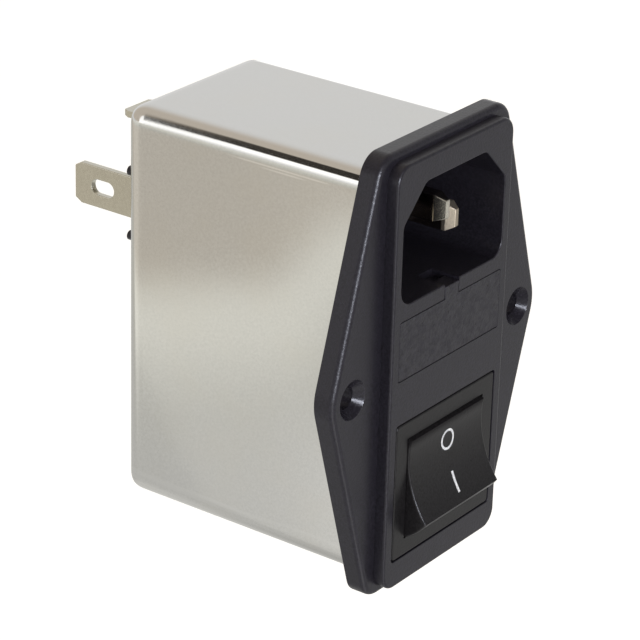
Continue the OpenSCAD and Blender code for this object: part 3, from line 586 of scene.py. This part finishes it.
def inlet_outline():
    x, inner, shoulder = INLET_X, INLET_X - INLET_CUT, INLET_HIGH - INLET_CUT
    return [(-x, INLET_LOW), (x, INLET_LOW), (x, shoulder), (inner, INLET_HIGH), (-inner, INLET_HIGH),
            (-x, shoulder)]


def countersink(name, x):
    """Cutter for a screw hole with a conical seat and a slightly wider rim."""
    rim, rim_y = HEAD_R + SINK_EDGE, -FLANGE_T - SINK_LIP
    hole_y = HEAD_R - SCREW_R - FLANGE_T
    profile = [(SCREW_R, PAST), (SCREW_R, hole_y), (HEAD_R, -FLANGE_T), (rim, rim_y),
               (rim, -FLANGE_T - PAST)]
    return turned_y(name, profile, x, 0, n=96)


def can_groove():
    """Cutter for the groove in the flange's back that seats the rim of the can."""
    play = 0.02
    points, radii = rectangle(CAN_X, CAN_Z0, CAN_Z1), [CAN_R] * 4
    corners = ((-play, CAN_FRONT), (-play, INTO), (CAN_WALL + play, INTO), (CAN_WALL + play, CAN_FRONT))
    return loft("can_groove", [ring_at(points, radii, d, y, n=8) for d, y in corners], closed=True)


def moulding_blocks():
    """What is joined to the flange: raised face, inner body and walls of the drawer bay."""
    face_back, body_front, walls_front = -1.0, -1.5, -1.2
    face, body = rectangle(FACE_X, FACE_Z0, FACE_Z1), rectangle(BODY_X, BODY_Z0, BODY_Z1)
    walls_x, walls_z = BAY_X + BAY_SIDE, (BAY_LOW - BAY_WALL, BAY_HIGH + BAY_WALL)
    return [
        plate("raised_face", face, [FACE_R] * 4, FACE_Y, face_back, FACE_EDGE, n=12, steps=8),
        plate("inner_body", body, [BODY_R] * 4, body_front, BODY_END, BODY_EDGE, n=6, steps=2),
        box("bay_walls", (-walls_x, walls_x), (walls_front, BAY_BACK), walls_z),
    ]


def moulding_cutters():
    """What is cut from the moulding: screw holes, inlet, drawer bay, switch room and seat of the can."""
    finger_depth, finger_low, seat_play = 2.2, 1.1, 0.05
    bay, inlet_radii = rectangle(BAY_X, BAY_LOW, BAY_HIGH), [INLET_R] * 2 + [INLET_CUT_R] * 4
    slot, slot_high = (-PULL_X - DRAWER_PLAY, PULL_X + DRAWER_PLAY), INLET_LOW + INTO
    seat = rectangle(SWITCH_X + SWITCH_GAP, SWITCH_LOW - SWITCH_GAP, SWITCH_HIGH + SWITCH_GAP)
    room_x, room_z = SWITCH_BODY_X + SWITCH_BODY_PLAY, SWITCH_BODY_Z + SWITCH_BODY_PLAY
    return [
        countersink("left_countersink", -SCREW_X),
        countersink("right_countersink", SCREW_X),
        mouth("inlet", inlet_outline(), inlet_radii, INLET_END, INLET_EDGE, n=10, steps=4),
        mouth("bay", bay, [BAY_R] * 4, BAY_END, BAY_EDGE, n=4, steps=3),
        box("pull_slot", slot, (FACE_Y - PAST, DRAWER_BACK + DRAWER_PLAY), (DRAWER_Z, slot_high)),
        box("finger_room", slot, (DRAWER_BACK, DRAWER_BACK + finger_depth),
            (INLET_LOW - finger_low, slot_high)),
        mouth("switch_seat", seat, [SEAT_R] * 4, FRAME_BACK + seat_play, SEAT_EDGE, n=4, steps=3),
        box("switch_room", (-room_x, room_x), (FRAME_BACK - INTO, BODY_END + PAST),
            (SWITCH_Z - room_z, SWITCH_Z + room_z)),
        can_groove(),
    ]


def front_moulding():
    obj = plate("front_moulding", flange_outline(), [FLANGE_R, FLANGE_R, EAR_R] * 2, -FLANGE_T, 0,
                FLANGE_EDGE, n=12, steps=10, back_edge=FLANGE_BACK_EDGE)
    combine(obj, moulding_blocks(), "UNION")
    combine(obj, moulding_cutters(), "DIFFERENCE")
    finished(obj, "front_housing")


# Filter can

def can_ring(d, y, steps=24):
    """The can's outline moved in by d, with eased corners that are a little tighter on the right."""
    least = 0.3
    x, z0, z1 = CAN_X - d, CAN_Z0 + d, CAN_Z1 - d
    left, right = max(CAN_REACH - d, least), max(CAN_RIGHT_SHARE * CAN_REACH - d, least)
    bend, low_left = eased_quarter(CAN_POWER, steps), eased_quarter(CAN_LOW_LEFT_POWER, steps)
    ring = [(x - right * u, y, z1 - right * v) for u, v in bend]
    ring += [(left * u - x, y, z1 - left * v) for u, v in reversed(bend)]
    ring += [(left * u - x, y, z0 + left * v) for u, v in low_left]
    ring += [(x - right * u, y, z0 + right * v) for u, v in reversed(bend)]
    return ring


def can_shell():
    """The sheet from the middle of the back over the bend to the rim, and back along its inside."""
    inner = CAN_REACH - CAN_WALL
    outside, inside = reversed(eased_quarter(CAN_POWER, 20)), eased_quarter(CAN_POWER, 6)
    rings = [can_ring(CAN_REACH * u, CAN_BACK - CAN_REACH * v) for u, v in outside]
    rings += [can_ring(0, y) for y in CAN_RINGS]
    rings.append(can_ring(CAN_WALL, CAN_FRONT))
    rings += [can_ring(CAN_WALL + inner * u, CAN_BACK - CAN_WALL - inner * v) for u, v in inside]
    finished(loft("can_shell", rings), "filter_can")


# Fuse drawer

def drawer_blocks():
    """What is joined to the drawer's front: pull tab and fuse tray."""
    tray_drop, floor_play = 0.8, 0.01
    pull = [(x + PULL_SHIFT, z) for x, z in rectangle(PULL_X, DRAWER_Z, PULL_TOP)]
    return [
        plate("pull", pull, [PULL_R] * 4, FACE_Y, DRAWER_BACK, PULL_EDGE, n=4, steps=4),
        box("tray", (-DRAWER_X, DRAWER_X), (DRAWER_BACK - INTO, DRAWER_END),
            (DRAWER_LOW + floor_play, DRAWER_HIGH - tray_drop)),
    ]


def trough_cutters(side):
    """Cutters on one side of the tray: fuse trough, its open top, way of the contact and guide groove."""
    groove_deep, groove_z, groove_front = 0.8, 1.0, DRAWER_BACK + 1.5
    x, edge, front, end = side * FUSE_X, side * DRAWER_X, DRAWER_BACK + TROUGH_WALL, DRAWER_END + PAST
    return [
        turned_y("trough", [(TROUGH_R, front), (TROUGH_R, end)], x, DRAWER_Z, n=64),
        box("trough_top", (x - TROUGH_TOP_X, x + TROUGH_TOP_X), (front, end + STEP),
            (DRAWER_Z, DRAWER_HIGH + PAST)),
        box("contact_way", (x - CONTACT_WAY_X, x + CONTACT_WAY_X), (front, end + 2 * STEP),
            (DRAWER_LOW - PAST, DRAWER_Z)),
        box("side_groove", (edge - groove_deep, edge + groove_deep), (groove_front, end),
            (DRAWER_Z - groove_z, DRAWER_Z + groove_z)),
    ]


def drawer():
    hollow_x, hollow_front, hollow_end = 2.0, DRAWER_BACK + 3.0, DRAWER_END - 2.0
    front = rectangle(DRAWER_FRONT_X, DRAWER_LOW, DRAWER_HIGH)
    obj = plate("drawer", front, [DRAWER_R] * 4, FACE_Y, DRAWER_BACK, DRAWER_EDGE, n=4, steps=3)
    combine(obj, drawer_blocks(), "UNION")
    hollow = box("hollow", (-hollow_x, hollow_x), (hollow_front, hollow_end),
                 (DRAWER_LOW - PAST, DRAWER_HIGH))
    combine(obj, [hollow] + trough_cutters(-1) + trough_cutters(1), "DIFFERENCE")
    finished(obj, "fuse_drawer", material="drawer_plastic")


# Switch

def switch_housing():
    opening_x, opening_r = ROCKER_X + ROCKER_GAP, ROCKER_R + ROCKER_GAP
    inside_x, inside_z = opening_x + HAIR, opening_r + HAIR
    front = rectangle(SWITCH_X, SWITCH_LOW, SWITCH_HIGH)
    obj = plate("switch_housing", front, [FRAME_R] * 4, FACE_Y, FRAME_BACK, FRAME_EDGE, n=6, steps=5)
    combine(obj, [
        box("switch_body", (-SWITCH_BODY_X, SWITCH_BODY_X), (FRAME_BACK - INTO, SWITCH_END),
            (SWITCH_Z - SWITCH_BODY_Z, SWITCH_Z + SWITCH_BODY_Z)),
    ], "UNION")
    combine(obj, [
        turned_x("rocker_opening", opening_r, opening_x, PIVOT_Y, SWITCH_Z, n=160),
        box("inside", (-inside_x, inside_x), (PIVOT_Y, SWITCH_END - SWITCH_FLOOR),
            (SWITCH_Z - inside_z, SWITCH_Z + inside_z)),
    ], "DIFFERENCE")
    finished(obj, "switch_frame")


def on_rocker(x, y, z):
    """From the rocker's own frame about the pivot to its place in the off position."""
    a = math.radians(ROCKER_TILT)
    return (x, PIVOT_Y + y * math.cos(a) - z * math.sin(a), SWITCH_Z + y * math.sin(a) + z * math.cos(a))


def dish(z):
    """Depth of the rocker's hollow face."""
    return math.sqrt(DISH_R ** 2 - z ** 2) - DISH_SET - DISH_R


def rocker_profile(face_steps=40, end_steps=28):
    """Section of the rocker in Y and Z: hollow face, two round ends about the pivot and a flat foot."""
    dish_y = DISH_SET + DISH_R
    edge_y = -(ROCKER_R ** 2 + dish_y ** 2 - DISH_R ** 2) / (2 * dish_y)
    edge_z = math.sqrt(ROCKER_R ** 2 - edge_y ** 2)
    start = math.atan2(edge_z, edge_y)
    end = math.atan2(math.sqrt(ROCKER_R ** 2 - ROCKER_FOOT ** 2), ROCKER_FOOT)
    heights = [edge_z * (2 * i / face_steps - 1) for i in range(face_steps + 1)]
    angles = [start + (end - start) * i / end_steps for i in range(1, end_steps + 1)]
    face = [Vector((dish(z), z)) for z in heights]
    upper = [Vector((ROCKER_R * math.cos(a), ROCKER_R * math.sin(a))) for a in angles]
    return face + upper + [Vector((p.x, -p.y)) for p in reversed(upper)]


def moved_in(points, d):
    """The clockwise profile moved in by a small distance along its normals."""
    k, least = len(points), 0.5
    out = []
    for i, p in enumerate(points):
        u, v = (p - points[i - 1]).normalized(), (points[(i + 1) % k] - p).normalized()
        normal = Vector((u.y + v.y, -(u.x + v.x))).normalized()
        out.append(p + normal * (d / max(least, math.cos(u.angle(v, 0.0) / 2))))
    return out


def rocker():
    points = rocker_profile()
    left = [(ROCKER_EDGE * aside - ROCKER_X, ROCKER_EDGE * inward) for aside, inward in quarter(6)]
    sections = left + [(-x, d) for x, d in reversed(left)]
    rings = [[on_rocker(x, p.x, p.y) for p in moved_in(points, d)] for x, d in sections]
    finished(loft("rocker_cap", rings), "rocker")


def mark(name, rows, closed):
    """Painted sign on the hollow face: a thin skin through rows of points in X and Z."""
    rings = []
    for row in rows:
        outer = [on_rocker(x, dish(z) + MARK_PROUD, z) for x, z in row]
        inner = [on_rocker(x, dish(z) + MARK_SUNK, z) for x, z in row]
        rings.append(outer + inner[::-1])
    obj = loft(name, rings, closed)
    smooth(obj, angle=40)
    dress(obj, "mark_paint")
    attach(obj, "rocker")


def marks(ring_steps=64, bar_steps=16):
    """The O of the off side and the I of the on side."""
    (ring_x, ring_z), (wide, high) = OFF_MARK_AT, OFF_MARK_STRETCH
    mark("off_mark", [[(ring_x + r * wide * u, ring_z + r * high * v) for r in OFF_MARK_RADII]
                      for u, v in circle(1.0, ring_steps)], closed=True)
    bar_x, bar_z = ON_MARK_AT
    heights = [bar_z + ON_MARK_Z * (2 * i / bar_steps - 1) for i in range(bar_steps + 1)]
    mark("on_mark", [[(bar_x + x, z) for x in (-ON_MARK_X, 0.0, ON_MARK_X)] for z in heights], closed=False)


# Pins, tabs and bushings, which are copies of their CAD nodes with softened edges

def pins():
    coined, sharp = 15, 12
    for node in ("left_pin", "right_pin"):
        finished(copied(node, PIN_EDGE, coined), node, sharp, "pin_brass")
    finished(copied("earth_pin", EARTH_EDGE, coined, EARTH_TAPER), "earth_pin", sharp, "earth_brass")


def tabs_and_bushings():
    sharp = 24
    for node in ("left_tab", "right_tab", "earth_tab"):
        finished(copied(node, TAB_EDGE), node, sharp)
    for node in ("left_bushing", "right_bushing"):
        finished(copied(node, BUSHING_EDGE), node, sharp)


# The whole part: every CAD node gets its finish, and finer pieces stand for some of the nodes

for name, node in frame["nodes"].items():
    dress(node, SLOT_OF[name])
front_moulding()
can_shell()
drawer()
switch_housing()
rocker()
marks()
pins()
tabs_and_bushings()


# World, where y is how far a ray points to the rear and its bearing goes from 0 at the left to 90 overhead

WHITE, WARM_OVERHEAD = (1, 1, 1, 1), (1, 0.9, 0.78, 1)
FRONT_LOW, FRONT_HIGH, REAR_TONE = 0.56, 0.3, 0.9
OVERHEAD_SHARE, CARD_SHARE, SOFT_BOX_TONE, WALL_TONE = 0.8, 0.06, 0.9, 0.7
# Ranges of y that the can's long edge mirrors: its rear stretch, and where its rear corner begins and ends
REAR_EDGE, CORNER_START, CORNER_END = (0.572, 0.626), (0.603, 0.608), (0.63, 0.67)
# Bearings before and after the rear stretch, and what the corner adds to them
CARD_LOW, CARD_HIGH, SOFT_BOX_LIFT = (21.0, -9.0), (69.0, 12.0), (0.0, 12.0)
CORNER_CARD, CORNER_LIFT = 45.0, 10.0
# The overhead tone fades in over the first range, from the card's lower rim, and out over the second
OVERHEAD_RIM, OVERHEAD_END = (-2.0, 2.0), (105.0, 155.0)


def room_tone(n, y, z):
    """Bright behind, and darker towards the top in front."""
    to_rear, to_top = (-0.35, 0.05), (0.05, 0.75)
    return n.fade(n.ramp(y, *to_rear), n.ramp(z, *to_top, FRONT_LOW, FRONT_HIGH), REAR_TONE)


def dark_card(n, y, bearing, above):
    """Dark card that draws the black band along the can's long edge."""
    rim, front = (-3.0, 3.0), (0.4, 0.5)
    top = n.fall(n.minus(bearing, n.ramp(y, *REAR_EDGE, *CARD_HIGH)), *rim)
    return n.times(n.ramp(above, *rim), top, n.between(y, front, CORNER_START))


def soft_box(n, y, bearing, above, corner):
    """Bright soft box under the card, which draws the light line below the band."""
    bottom, top, front, rear = (-12.0, 6.0), (-3.0, 2.0), (0.36, 0.46), (0.7, 0.8)
    lift = n.plus(n.ramp(y, *REAR_EDGE, *SOFT_BOX_LIFT), n.times(corner, CORNER_LIFT))
    height = n.times(n.ramp(n.plus(bearing, lift), *bottom), n.fall(above, *top))
    return n.times(height, n.between(y, front, rear))


def right_wall(n, x, y, z):
    """Lighter wall low on the right."""
    side, front, rear, top = (0.3, 0.6), (0.1, 0.3), (0.56, 0.62), (0.14, 0.28)
    return n.times(n.ramp(x, *side), n.between(y, front, rear), n.fall(z, *top))


def studio():
    """A bright room to the left and behind, dimmer overhead and in front, white to the camera."""
    world = bpy.data.worlds.new("studio")
    scene.world = world
    n = Nodes(world)
    x, y, z = n.split(n.coordinates("Generated"))
    bearing = n.math("DEGREES", n.math("ARCTAN2", z, n.times(x, -1.0)))
    corner = n.between(y, CORNER_START, CORNER_END)
    above = n.minus(bearing, n.plus(n.ramp(y, *REAR_EDGE, *CARD_LOW), n.times(corner, CORNER_CARD)))
    overhead = n.times(n.ramp(above, *OVERHEAD_RIM), n.fall(bearing, *OVERHEAD_END))
    card = dark_card(n, y, bearing, above)
    room = n.times(room_tone(n, y, z), n.share(overhead, OVERHEAD_SHARE), n.share(card, CARD_SHARE))
    room = n.plus(room, n.times(soft_box(n, y, bearing, above, corner), SOFT_BOX_TONE),
                  n.times(right_wall(n, x, y, z), WALL_TONE))
    tint = n.mix(overhead, WHITE, WARM_OVERHEAD)
    light = n.add("ShaderNodeBackground", {"Color": tint, "Strength": room}).outputs[0]
    seen = n.add("ShaderNodeBackground", {"Color": WHITE, "Strength": 1.0}).outputs[0]
    by_camera = n.add("ShaderNodeLightPath").outputs["Is Camera Ray"]
    mixed = n.add("ShaderNodeMixShader", {0: by_camera, 1: light, 2: seen})
    n.add("ShaderNodeOutputWorld", {"Surface": mixed.outputs[0]})


# Floor, in metres, with its tones laid along the rays that the can's left side mirrors and across them

FLOOR_Z, FLOOR_HALF = -0.1, 0.75
FLOOR_PAINT, CAMERA_GLOW = (0.8, 0.8, 0.79, 1), 0.6
ALONG, ACROSS, GLEAM_BEARING = (-0.74, 0.67, 0), (0.67, 0.74, 0), (-0.585, -0.811, 0)
NEAR_COLOUR, EDGE_COLOUR, FAR_COLOUR = (1, 0.995, 0.965, 1), (1, 0.99, 0.915, 1), (1, 0.935, 0.83, 1)
# Tones of the mirrored floor, and how much each area adds to them, takes from them or leaves of them
NEAR_TONES, EDGE_GAIN, DISTANCE_GAIN, RIGHT_GAIN, UNDER_GAIN = (0.7, 0.8), 0.2, 0.2, 0.14, 0.12
CORNER_DROP, CORNER_SLANT, FAR_DROP, FAR_LEFT_GAIN, GLEAM_GAIN = 0.1, 0.14, 0.31, 0.06, 2.6
REAR_FLOOR_TONE, FRONT_LEFT_SHARE, CONTACT_SHADOW_SHARE = 0.68, 0.9, 0.75


def base_tone(n, along, across, edge, far):
    """Tone by the distance along the mirrored rays and across them."""
    near = n.plus(n.ramp(along, -0.27, 0.0, *NEAR_TONES), n.ramp(edge, 0.2, 0.252, 0.0, EDGE_GAIN))
    distance = n.ramp(along, 0.42, 0.74, 0.0, DISTANCE_GAIN)
    right = n.ramp(across, 0.01, 0.045, 0.0, RIGHT_GAIN)
    under = n.between(along, (0.1, 0.14), (0.16, 0.22))
    under = n.times(n.ramp(across, -0.03, -0.01, UNDER_GAIN, 0.0), under)
    slanted = n.minus(across, n.times(along, CORNER_SLANT))
    corner = n.times(n.ramp(slanted, -0.0245, -0.0195, 0.0, CORNER_DROP), n.fall(along, 0.225, 0.25))
    far_left = n.times(far, n.ramp(across, -0.045, -0.015, FAR_LEFT_GAIN, 0.0))
    tone = n.plus(n.minus(near, n.times(far, FAR_DROP)), distance, right, under)
    return n.plus(n.minus(tone, corner), far_left)


def mirrored_tone(n, place, along, across, edge, far):
    """Strength of the floor as the part mirrors it, with darker and lighter areas round the part and a
    painted shadow near it.
    """
    x, y, _ = n.split(place)
    away = n.add("ShaderNodeVectorMath", {0: place}, operation="LENGTH").outputs["Value"]
    toward = n.add("ShaderNodeVectorMath", {0: place}, operation="NORMALIZE").outputs["Vector"]
    front_left = n.times(n.fall(x, -0.1, 0.0), n.fall(y, -0.06, 0.03))
    rear = n.times(n.ramp(x, -0.135, -0.105), n.ramp(y, 0.08, 0.14))
    # Painted shadow: the mirrored floor is dimmer close to the part
    tone = n.times(base_tone(n, along, across, edge, far), n.ramp(away, 0.02, 0.12, CONTACT_SHADOW_SHARE, 1.0))
    tone = n.fade(rear, n.times(tone, n.share(front_left, FRONT_LEFT_SHARE)), REAR_FLOOR_TONE)
    gleam = n.ramp(n.dot(toward, GLEAM_BEARING), 0.985, 0.998, 0.0, GLEAM_GAIN)
    return n.plus(tone, gleam)


def floor_material():
    """Matt white to the camera and to diffuse light, and a shaded glow to mirrored and refracted rays."""
    n = Nodes(bpy.data.materials.new("floor"))
    rays = n.add("ShaderNodeLightPath").outputs
    matt = n.add("ShaderNodeBsdfDiffuse", {"Color": FLOOR_PAINT}).outputs[0]
    glow_strength = n.times(rays["Is Camera Ray"], CAMERA_GLOW)
    glow = n.add("ShaderNodeEmission", {"Color": WHITE, "Strength": glow_strength}).outputs[0]
    plain = n.add("ShaderNodeAddShader", {0: matt, 1: glow}).outputs[0]
    place = n.coordinates("Object")
    along, across = n.dot(place, ALONG), n.dot(place, ACROSS)
    edge = n.minus(along, n.ramp(across, -0.043, -0.02, 0.038, 0.0))
    far = n.ramp(edge, 0.256, 0.288)
    colour = n.mix(n.ramp(edge, 0.16, 0.25), NEAR_COLOUR, EDGE_COLOUR)
    colour = n.mix(n.times(far, n.fall(along, 0.36, 0.5)), colour, FAR_COLOUR)
    tone = mirrored_tone(n, place, along, across, edge, far)
    mirrored = n.add("ShaderNodeEmission", {"Color": colour, "Strength": tone}).outputs[0]
    in_mirror = n.math("MAXIMUM", rays["Is Glossy Ray"], rays["Is Transmission Ray"])
    mixed = n.add("ShaderNodeMixShader", {0: in_mirror, 1: plain, 2: mirrored})
    n.add("ShaderNodeOutputMaterial", {"Surface": mixed.outputs[0]})
    return n.owner


def floor():
    bm = bmesh.new()
    bmesh.ops.create_grid(bm, x_segments=2, y_segments=2, size=FLOOR_HALF)
    obj = new_object("floor", bm)
    obj.location.z = FLOOR_Z
    obj.data.materials.append(floor_material())


# Lamps, in metres: a soft one on the front left, and a small one that only lights up rounded edges

LAMP_TOWARD, LAMP_DISTANCE = (-0.496, -0.845, 0.206), 0.8


def lamp(name, size, energy, colour):
    data = bpy.data.lights.new(name, "AREA")
    data.shape, data.size, data.energy, data.color = "DISK", size, energy, colour
    obj = bpy.data.objects.new(name, data)
    scene.collection.objects.link(obj)
    toward = Vector(LAMP_TOWARD).normalized()
    obj.location = toward * LAMP_DISTANCE
    obj.rotation_euler = toward.to_track_quat("Z", "Y").to_euler()
    obj.visible_camera = False
    return obj


studio()
floor()
lamp("key_lamp", size=0.5, energy=3.6, colour=(1, 1, 1)).visible_glossy = False
lamp("edge_lamp", size=0.11, energy=8.5, colour=(0.84, 0.87, 1)).visible_diffuse = False


# Camera, solved from the photograph: angles in degrees, and the pixel at which it shows the frame's origin

AZIMUTH, ELEVATION, ROLL, DISTANCE = -54.194, 24.2, 1.607, 408.2
FOCAL_PX, IMAGE_PX, ORIGIN_PX = 2957.95, 640, (419.39, 345.47)
SENSOR, CLIP_START, CLIP_END = 36, 0.01, 10


def make_camera():
    a, e, r = (math.radians(v) for v in (AZIMUTH, ELEVATION, ROLL))
    back = Vector((math.sin(a) * math.cos(e), -math.cos(a) * math.cos(e), math.sin(e)))
    right = Vector((0, 0, 1)).cross(back).normalized()
    up = back.cross(right)
    turned_right = math.cos(r) * right + math.sin(r) * up
    turned_up = -math.sin(r) * right + math.cos(r) * up
    aside, below = ((pixel - IMAGE_PX / 2) * DISTANCE / FOCAL_PX for pixel in ORIGIN_PX)
    place = (DISTANCE * back - aside * turned_right + below * turned_up) * MM
    data = bpy.data.cameras.new("camera")
    data.sensor_width = SENSOR
    data.lens = FOCAL_PX / IMAGE_PX * SENSOR
    data.clip_start, data.clip_end = CLIP_START, CLIP_END
    camera = bpy.data.objects.new("camera", data)
    scene.collection.objects.link(camera)
    axes = Matrix((turned_right, turned_up, back)).transposed().to_4x4()
    camera.matrix_world = Matrix.Translation(place) @ axes
    scene.camera = camera


make_camera()
scene.view_settings.view_transform = "Standard"
